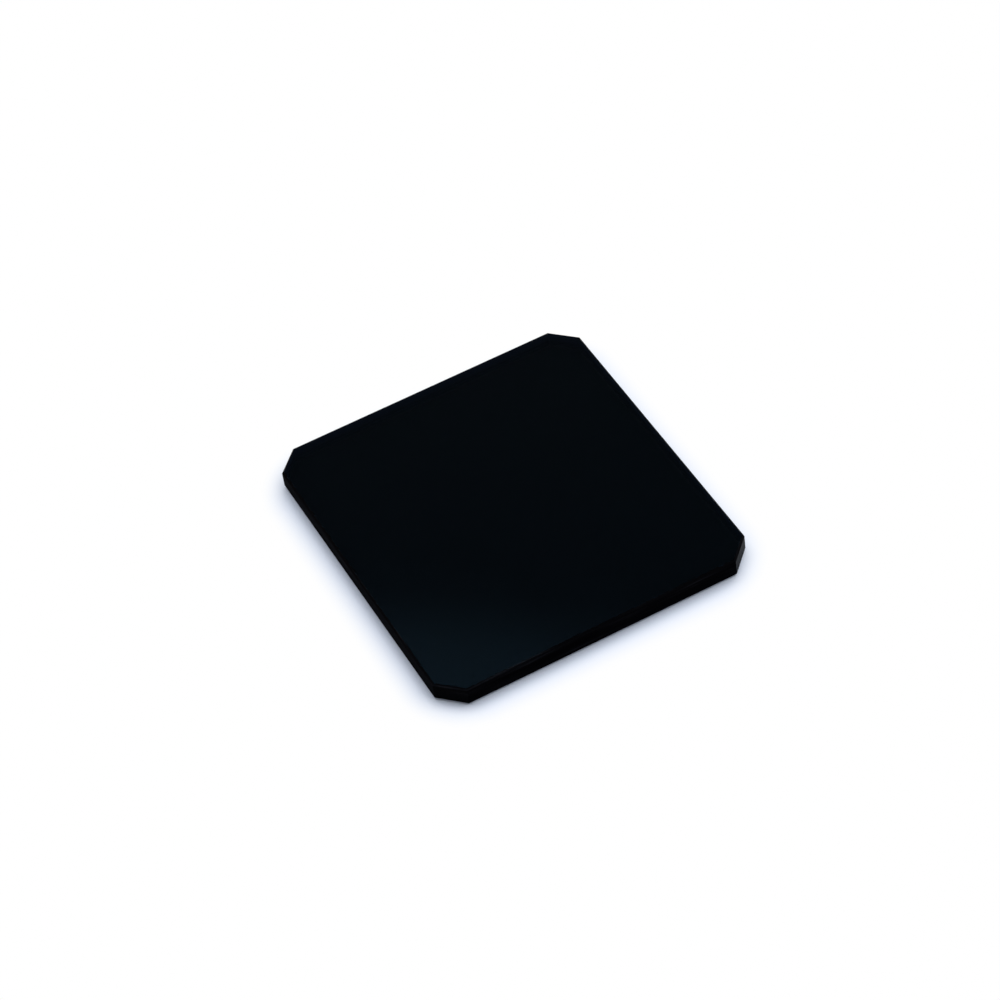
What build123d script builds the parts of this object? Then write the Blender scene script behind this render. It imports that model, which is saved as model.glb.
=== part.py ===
from build123d import *
import os

# A neutral density filter: one plate of dark optical glass, cut and ground from polished
# sheet. It lies on its rear face, the one that goes towards the lens. X runs across its
# width, Y along its length, and Z up through the glass. All sizes are in millimetres.

# Driving dimensions
plate_width = 24.0
plate_length = 26.4
glass_thickness = 1.5
# Length taken off each side where a corner is cut at 45 degrees
corner_cut = 1.7
# The flat ground on every rim, top and bottom, so that it has no sharp edge
rim_bevel = 0.15

# The blank: the outline of the plate with its four corners cut
with BuildPart() as filter_glass:
    with BuildSketch(Plane.XY) as outline:
        Rectangle(plate_width, plate_length)
        chamfer(outline.vertices(), length=corner_cut)
    extrude(amount=glass_thickness)

    # The ground rim: both polished faces are bevelled all round, corner cuts included
    polished_faces = filter_glass.faces().filter_by(Axis.Z)
    chamfer(polished_faces.edges(), length=rim_bevel)

filter_glass.part.label = "filter_glass"

os.makedirs("parts", exist_ok=True)
export_step(filter_glass.part, "parts/filter_glass.step")
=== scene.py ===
import math

import bpy
from mathutils import Matrix, Vector


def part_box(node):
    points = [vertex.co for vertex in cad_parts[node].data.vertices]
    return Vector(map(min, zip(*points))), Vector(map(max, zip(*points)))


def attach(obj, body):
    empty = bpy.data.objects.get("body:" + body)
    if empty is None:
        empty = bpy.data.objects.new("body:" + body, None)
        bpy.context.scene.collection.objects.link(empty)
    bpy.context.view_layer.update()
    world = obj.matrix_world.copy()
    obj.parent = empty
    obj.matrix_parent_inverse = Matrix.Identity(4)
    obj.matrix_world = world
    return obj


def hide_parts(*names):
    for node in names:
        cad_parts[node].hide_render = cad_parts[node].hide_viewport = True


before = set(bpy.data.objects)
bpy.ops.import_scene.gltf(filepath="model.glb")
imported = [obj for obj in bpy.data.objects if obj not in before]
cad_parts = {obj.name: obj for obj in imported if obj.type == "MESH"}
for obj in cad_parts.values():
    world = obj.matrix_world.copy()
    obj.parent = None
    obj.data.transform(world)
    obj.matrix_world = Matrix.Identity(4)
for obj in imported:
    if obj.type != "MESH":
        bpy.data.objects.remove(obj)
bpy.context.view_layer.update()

# The neutral density filter: one plate of dark glass with polished, coated faces, ground sides
# and a fine ground bevel round both faces. It lies on matt white paper under two soft lamps.
# Lengths are in metres, and colours are shares of red, green and blue light.

MM = 0.001
PLATE_LOW, PLATE_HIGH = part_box("filter_glass")

# The plate's flats, in the order of their finishes, and the arrises where they meet
FLATS = ("face", "side", "bevel", "corner")
MERGE_DISTANCE = 0.001 * MM
FLAT_LIMIT = math.radians(1.0)
ARRIS_LIMIT = math.radians(20.0)
ARRIS_WIDTH = 0.02 * MM
ARRIS_STEPS = 3
SMOOTH_LIMIT = math.radians(30.0)

# What counts as facing wholly one way, and what as not facing that way at all
WHOLLY = 0.99
HARDLY = 0.01

# Nearly all values of a noise pattern lie between these
NOISE_RANGE = (0.3, 0.7)

# The polished faces. The glass halves the light six times on its way through, and its coating
# makes it mirror like something much less dense than glass.
STOPS = 6
LIGHT_PASSED = 0.5 ** STOPS
COATING_IOR = 1.098
COATING_TINT = (0.05, 0.51, 1.0)
MELT_PER_METRE = 90.0
MELT_DETAIL = 2.0
MELT_TINTS = (
    (0.35, (0.90, 0.93, 0.98)),
    (0.65, (0.98, 1.02, 1.10)),
)
POLISH_PER_METRE = 260.0
POLISH_DETAIL = 5.0
POLISH_ROUGHNESS = (0.04, 0.07)

# The pattern that grinding leaves: lines drawn out level, and a grain between them
LINES_PER_METRE = 9000.0
LINES_DETAIL = 3.0
LINES_DRAWN_OUT = Vector((0.02, 0.02, 1.0))
GRAINS_PER_METRE = 30000.0
GRAINS_DETAIL = 2.0
GRAINS_SHARE = 0.30

# The ground surfaces: nearly black, and paler in the strongest lines
GROUND_IOR = 1.5
GROUND_TINTS = (
    (0.52, (0.0007, 0.0007, 0.0012)),
    (0.60, (0.0036, 0.0038, 0.0052)),
    (0.66, (0.016, 0.0165, 0.021)),
)
GROUND_BUMP = 0.3
GROUND_SIDE = {"roughness": (0.35, 0.55), "shine": 0.0008, "depth": 0.002 * MM}
GROUND_BEVEL = {"roughness": (0.35, 0.60), "shine": 0.007, "depth": 0.003 * MM}
GROUND_CORNER = {"roughness": (0.16, 0.30), "shine": 0.0032, "depth": 0.002 * MM}

# Painted glow on the inner side of the ground walls, at their foot and at their rim, in place of
# light that comes in through the walls
INNER_FOOT_PAINTED_GLOW = (0.0, 0.0, 0.0)
INNER_RIM_PAINTED_GLOW = (0.15, 0.19, 0.50)

# The camera, in the plate's frame. Only its lens and sensor are in millimetres, as Blender has them
CAMERA_PLACE = Vector((-61.27, -150.79, 176.37)) * MM
CAMERA_AIM = Vector((-0.136, 1.22, 0.754)) * MM
CAMERA_ROLL = math.radians(-8.69)
CAMERA_LENS = 124.8
CAMERA_SENSOR = 36.0
CAMERA_NEAREST = 10.0 * MM
CAMERA_FURTHEST = 10.0

# The paper: how it lights what is near it, and how it is seen. The seen colour is bluer, a painted
# bluish tone in the plate's shadow
WHITE = (1.0, 1.0, 1.0)
PAPER_SIZE = 3.0
PAPER_GAP = 0.02 * MM
PAPER_LIT = (0.90, 0.90, 0.90)
PAPER_SEEN_PAINTED_SHADE = (0.84, 0.915, 1.06)

# A ray that comes to the paper from nearer than this has come through the glass lying on it
PAPER_TOUCH = 0.1 * MM

# The painted end of the shadow on the paper: the plate's outline with rounder corners, shifted away
# from the lamps, and how far past it the painted fade into white starts and ends
SHADOW_SHIFT = Vector((-0.24, -0.29, 0.0)) * MM
SHADOW_ROUND = 3.4 * MM
SHADOW_INNER = -0.1 * MM
SHADOW_OUTER = 2.1 * MM

# The air, and the lamps, whose places, radii and fading rims are shares of their height
AIR_LIGHT = 0.34
AIR_TINT = (0.98, 1.0, 1.04)
LAMP_HEIGHT = 0.60
LAMP_FADE = 0.06
SIDE_LAMP = {"place": (1.07, -0.02), "radius": 1.01, "brightness": 1.44}
BACK_LAMP = {"place": (-0.014, 0.458), "radius": 0.486, "brightness": 2.40}

# The middle of a lamp and how far its rim is from there, in shares of its width
LAMP_MIDDLE = (0.5, 0.5, 0.0)
LAMP_RIM = 0.5

NODE_SPACING = 200


# Small helpers


def deselect_all():
    bpy.ops.object.select_all(action="DESELECT")


def select_only(piece):
    deselect_all()
    piece.select_set(True)
    bpy.context.view_layer.objects.active = piece


def opaque(tint, level=1.0):
    """That tint at that level, as the opaque colour that a socket takes."""
    return (*(level * share for share in tint), 1.0)


def new_material(name):
    """A material with an empty node tree, and that tree."""
    material = bpy.data.materials.new(name)
    material.use_nodes = True
    material.node_tree.nodes.clear()
    return material, material.node_tree


def add(tree, kind, inputs=(), **settings):
    """A node of that kind. Each input named gets a value, or a link from another node's output."""
    node = tree.nodes.new(kind)
    node.location = (NODE_SPACING * len(tree.nodes), 0)
    for name, value in settings.items():
        setattr(node, name, value)
    for name, value in dict(inputs).items():
        if isinstance(value, bpy.types.NodeSocket):
            tree.links.new(value, node.inputs[name])
        else:
            node.inputs[name].default_value = value
    return node


def noise(tree, place, scale, detail):
    inputs = {"Vector": place, "Scale": scale, "Detail": detail}
    return add(tree, "ShaderNodeTexNoise", inputs).outputs["Fac"]


def mix(tree, share, first, second, kind="RGBA"):
    """The first value or colour, with that share of the second in it."""
    inputs = {"Factor": share, "A": first, "B": second}
    return add(tree, "ShaderNodeMix", inputs, data_type=kind).outputs["Result"]


def rescale(tree, value, before, after=(0.0, 1.0), curve="LINEAR"):
    """A value carried over from one range to another."""
    inputs = {
        "Value": value,
        "From Min": before[0],
        "From Max": before[1],
        "To Min": after[0],
        "To Max": after[1],
    }
    return add(tree, "ShaderNodeMapRange", inputs, interpolation_type=curve).outputs["Result"]


def ramp(tree, value, stops, level=1.0):
    """The colour for a value, from stops that each give a value and the tint it has."""
    node = add(tree, "ShaderNodeValToRGB", {"Fac": value})
    elements = node.color_ramp.elements
    for position, _ in stops[1:-1]:
        elements.new(position)
    for element, (position, tint) in zip(elements, stops):
        element.position = position
        element.color = opaque(tint, level)
    return node.outputs["Color"]


def number_math(tree, operation, *numbers):
    inputs = dict(enumerate(numbers))
    return add(tree, "ShaderNodeMath", inputs, operation=operation).outputs["Value"]


def vector_math(tree, operation, *vectors):
    inputs = dict(enumerate(vectors))
    return add(tree, "ShaderNodeVectorMath", inputs, operation=operation).outputs


# The effect of grinding


def grinding_group():
    """Roughness, shade and height of a ground surface, whose lines run level round the plate."""
    group = bpy.data.node_groups.new("grinding", "ShaderNodeTree")
    group.interface.new_socket("Vector", in_out="INPUT", socket_type="NodeSocketVector")
    for name in ("Lines per Metre", "Grains per Metre", "Lowest Roughness", "Highest Roughness"):
        group.interface.new_socket(name, in_out="INPUT", socket_type="NodeSocketFloat")
    for name in ("Roughness", "Shade", "Height"):
        group.interface.new_socket(name, in_out="OUTPUT", socket_type="NodeSocketFloat")

    given = add(group, "NodeGroupInput").outputs
    drawn_out = vector_math(group, "MULTIPLY", given["Vector"], LINES_DRAWN_OUT)["Vector"]
    lines = noise(group, drawn_out, given["Lines per Metre"], LINES_DETAIL)
    grains = noise(group, given["Vector"], given["Grains per Metre"], GRAINS_DETAIL)
    pattern = mix(group, GRAINS_SHARE, lines, grains, "FLOAT")
    limits = (given["Lowest Roughness"], given["Highest Roughness"])
    roughness = rescale(group, pattern, NOISE_RANGE, limits)
    results = {"Roughness": roughness, "Shade": pattern, "Height": pattern}
    add(group, "NodeGroupOutput", results)
    return group


# The finishes of the glass


def coated_face_material():
    """A polished face of dark glass, coated so that it mirrors very little, and that bluish."""
    material, tree = new_material("coated_face")
    place = add(tree, "ShaderNodeTexCoord").outputs["Object"]
    melt = noise(tree, place, MELT_PER_METRE, MELT_DETAIL)
    polish = noise(tree, place, POLISH_PER_METRE, POLISH_DETAIL)
    glass = {
        "Base Color": ramp(tree, melt, MELT_TINTS, LIGHT_PASSED),
        "Roughness": rescale(tree, polish, NOISE_RANGE, POLISH_ROUGHNESS),
        "IOR": COATING_IOR,
        "Specular Tint": opaque(COATING_TINT),
        "Transmission Weight": 1.0,
    }
    surface = add(tree, "ShaderNodeBsdfPrincipled", glass).outputs["BSDF"]
    add(tree, "ShaderNodeOutputMaterial", {"Surface": surface})
    return material


def painted_inner_glow(tree, place):
    """What a ground wall shows through a polished face: a painted glow, bluish and paler towards
    its rim, in place of light that comes in through the wall.
    """
    height = add(tree, "ShaderNodeSeparateXYZ", {"Vector": place}).outputs["Z"]
    share = rescale(tree, height, (PLATE_LOW.z, PLATE_HIGH.z))
    return mix(tree, share, opaque(INNER_FOOT_PAINTED_GLOW), opaque(INNER_RIM_PAINTED_GLOW))


def ground_material(name, group, roughness, shine, depth):
    """A ground surface of the same glass: dark, not seen through, and lightly lined."""
    material, tree = new_material(name)
    place = add(tree, "ShaderNodeTexCoord").outputs["Object"]
    grinding = {
        "Vector": place,
        "Lines per Metre": LINES_PER_METRE,
        "Grains per Metre": GRAINS_PER_METRE,
        "Lowest Roughness": roughness[0],
        "Highest Roughness": roughness[1],
    }
    ground = add(tree, "ShaderNodeGroup", grinding, node_tree=group).outputs
    lined = {"Height": ground["Height"], "Strength": GROUND_BUMP, "Distance": depth}
    outer = ramp(tree, ground["Shade"], GROUND_TINTS)
    # Seen from within, the wall shows the painted glow in place of its dark outer tint
    from_within = add(tree, "ShaderNodeNewGeometry").outputs["Backfacing"]
    glass = {
        "Base Color": mix(tree, from_within, outer, painted_inner_glow(tree, place)),
        "Roughness": ground["Roughness"],
        "IOR": GROUND_IOR,
        "Specular IOR Level": shine,
        "Normal": add(tree, "ShaderNodeBump", lined).outputs["Normal"],
    }
    surface = add(tree, "ShaderNodeBsdfPrincipled", glass).outputs["BSDF"]
    add(tree, "ShaderNodeOutputMaterial", {"Surface": surface})
    return material


# The plate


def copy_of_solid():
    """A free copy of the CAD plate, which itself stays as it is."""
    deselect_all()
    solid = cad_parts["filter_glass"]
    plate = solid.copy()
    plate.data = solid.data.copy()
    plate.name = "filter_plate"
    plate.data.name = "filter_plate"
    plate.parent = None
    for key in list(plate.keys()):
        del plate[key]
    bpy.context.scene.collection.objects.link(plate)
    select_only(plate)
    return plate


def join_triangles():
    """One face for each flat of the active plate, in place of loose triangles."""
    bpy.ops.object.mode_set(mode="EDIT")
    bpy.ops.mesh.select_all(action="SELECT")
    bpy.ops.mesh.customdata_custom_splitnormals_clear()
    bpy.ops.mesh.remove_doubles(threshold=MERGE_DISTANCE)
    bpy.ops.mesh.dissolve_limited(angle_limit=FLAT_LIMIT)
    bpy.ops.mesh.select_all(action="DESELECT")
    bpy.ops.object.mode_set(mode="OBJECT")


def kind_of_flat(normal):
    """Which of the plate's flats has that normal."""
    if abs(normal.z) > WHOLLY:
        return "face"
    if abs(normal.z) > HARDLY:
        return "bevel"
    if min(abs(normal.x), abs(normal.y)) > HARDLY:
        return "corner"
    return "side"


def finish_flats(plate):
    """Each flat gets its own finish."""
    grinding = grinding_group()
    finishes = {
        "face": coated_face_material(),
        "side": ground_material("ground_side", grinding, **GROUND_SIDE),
        "bevel": ground_material("ground_bevel", grinding, **GROUND_BEVEL),
        "corner": ground_material("ground_corner", grinding, **GROUND_CORNER),
    }
    plate.data.materials.clear()
    for flat in FLATS:
        plate.data.materials.append(finishes[flat])
    for polygon in plate.data.polygons:
        polygon.material_index = FLATS.index(kind_of_flat(polygon.normal))


def round_arrises(plate):
    """The arrises, where flats meet, are rubbed round."""
    arris = plate.modifiers.new("arris", "BEVEL")
    arris.width = ARRIS_WIDTH
    arris.segments = ARRIS_STEPS
    arris.limit_method = "ANGLE"
    arris.angle_limit = ARRIS_LIMIT
    arris.harden_normals = True
    bpy.ops.object.shade_smooth_by_angle(angle=SMOOTH_LIMIT)
    bpy.ops.object.modifier_apply(modifier=arris.name)


def filter_plate():
    plate = copy_of_solid()
    join_triangles()
    finish_flats(plate)
    round_arrises(plate)
    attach(plate, "root")
    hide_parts("filter_glass")


# The studio: paper, air and lamps


def seen_rays(tree):
    """1 for rays of the camera, of mirrors and of glass, and 0 for light on its way."""
    path = add(tree, "ShaderNodeLightPath").outputs
    mirrored = number_math(tree, "MAXIMUM", path["Is Camera Ray"], path["Is Glossy Ray"])
    return number_math(tree, "MAXIMUM", mirrored, path["Is Transmission Ray"])


def painted_shadow_fade(tree):
    """0 where the plate's shadow lies on the paper, and 1 past it, with a painted fade between, set
    by place.
    """
    place = add(tree, "ShaderNodeTexCoord").outputs["Object"]
    core = Vector((PLATE_HIGH.x - SHADOW_ROUND, PLATE_HIGH.y - SHADOW_ROUND, 0.0))
    from_middle = vector_math(tree, "SUBTRACT", place, SHADOW_SHIFT)["Vector"]
    either_side = vector_math(tree, "ABSOLUTE", from_middle)["Vector"]
    from_core = vector_math(tree, "SUBTRACT", either_side, core)["Vector"]
    outside = vector_math(tree, "MAXIMUM", from_core, Vector())["Vector"]
    distance = vector_math(tree, "LENGTH", outside)["Value"]
    limits = (SHADOW_ROUND + SHADOW_INNER, SHADOW_ROUND + SHADOW_OUTER)
    return rescale(tree, distance, limits, curve="SMOOTHSTEP")


def in_the_open(tree):
    """0 for paper that is seen through the glass lying on it, and 1 for the rest."""
    path = add(tree, "ShaderNodeLightPath").outputs
    return number_math(tree, "GREATER_THAN", path["Ray Length"], PAPER_TOUCH)


def paper_material():
    """Matt white paper. It keeps the plate's shadow, with a painted bluish tone, and a painted fade
    by place makes it pure white past the shadow.
    """
    material, tree = new_material("white_paper")
    seen = seen_rays(tree)
    # The paper's colour for seen rays carries the painted bluish shade
    colour = mix(tree, seen, opaque(PAPER_LIT), opaque(PAPER_SEEN_PAINTED_SHADE))
    paper = add(tree, "ShaderNodeBsdfDiffuse", {"Color": colour}).outputs["BSDF"]
    white = add(tree, "ShaderNodeEmission", {"Color": opaque(WHITE)}).outputs["Emission"]
    # Painted fade: past the shadow, white is mixed in by place, not by the lamps
    share = number_math(tree, "MULTIPLY", painted_shadow_fade(tree), seen)
    share = number_math(tree, "MULTIPLY", share, in_the_open(tree))
    surface = add(tree, "ShaderNodeMixShader", {0: share, 1: paper, 2: white}).outputs["Shader"]
    add(tree, "ShaderNodeOutputMaterial", {"Surface": surface})
    return material


def paper():
    deselect_all()
    bpy.ops.mesh.primitive_plane_add(size=PAPER_SIZE, location=(0, 0, PLATE_LOW.z - PAPER_GAP))
    sheet = bpy.context.object
    bpy.ops.object.transform_apply(location=True)
    sheet.name = "paper"
    sheet.data.materials.append(paper_material())


def air():
    """Even, slightly cool light from all round, and a pure white background."""
    world = bpy.data.worlds.new("air")
    bpy.context.scene.world = world
    world.use_nodes = True
    tree = world.node_tree
    tree.nodes.clear()
    colour = mix(tree, seen_rays(tree), opaque(AIR_TINT, AIR_LIGHT), opaque(WHITE))
    light = add(tree, "ShaderNodeBackground", {"Color": colour}).outputs["Background"]
    add(tree, "ShaderNodeOutputWorld", {"Surface": light})


def lamp(name, place, radius, brightness):
    """A flat round soft lamp overhead. At a brightness of 1 it looks plain white."""
    light = bpy.data.lights.new(name, "AREA")
    light.shape = "DISK"
    light.size = 2 * radius * LAMP_HEIGHT
    area = math.pi * (radius * LAMP_HEIGHT) ** 2
    light.energy = brightness * math.pi * area
    stand = bpy.data.objects.new(name, light)
    stand.location = (place[0] * LAMP_HEIGHT, place[1] * LAMP_HEIGHT, LAMP_HEIGHT)
    bpy.context.scene.collection.objects.link(stand)

    # The cloth over the lamp is darker towards its rim
    light.use_nodes = True
    tree = light.node_tree
    tree.nodes.clear()
    spot = add(tree, "ShaderNodeNewGeometry").outputs["Parametric"]
    from_middle = vector_math(tree, "DISTANCE", spot, LAMP_MIDDLE)["Value"]
    limits = (LAMP_RIM, LAMP_RIM - LAMP_FADE / (2 * radius))
    fade = rescale(tree, from_middle, limits, curve="SMOOTHSTEP")
    glow = add(tree, "ShaderNodeEmission", {"Strength": fade}).outputs["Emission"]
    add(tree, "ShaderNodeOutputLight", {"Surface": glow})


def camera():
    lens = bpy.data.cameras.new("camera")
    lens.lens = CAMERA_LENS
    lens.sensor_width = CAMERA_SENSOR
    lens.clip_start = CAMERA_NEAREST
    lens.clip_end = CAMERA_FURTHEST
    body = bpy.data.objects.new("camera", lens)
    body.location = CAMERA_PLACE
    body.rotation_mode = "QUATERNION"
    level = (CAMERA_AIM - CAMERA_PLACE).to_track_quat("-Z", "Y")
    roll = Matrix.Rotation(CAMERA_ROLL, 4, "Z").to_quaternion()
    body.rotation_quaternion = level @ roll
    bpy.context.scene.collection.objects.link(body)
    bpy.context.scene.camera = body


camera()
filter_plate()
paper()
air()
lamp("side_lamp", **SIDE_LAMP)
lamp("back_lamp", **BACK_LAMP)
bpy.context.scene.view_settings.view_transform = "Standard"
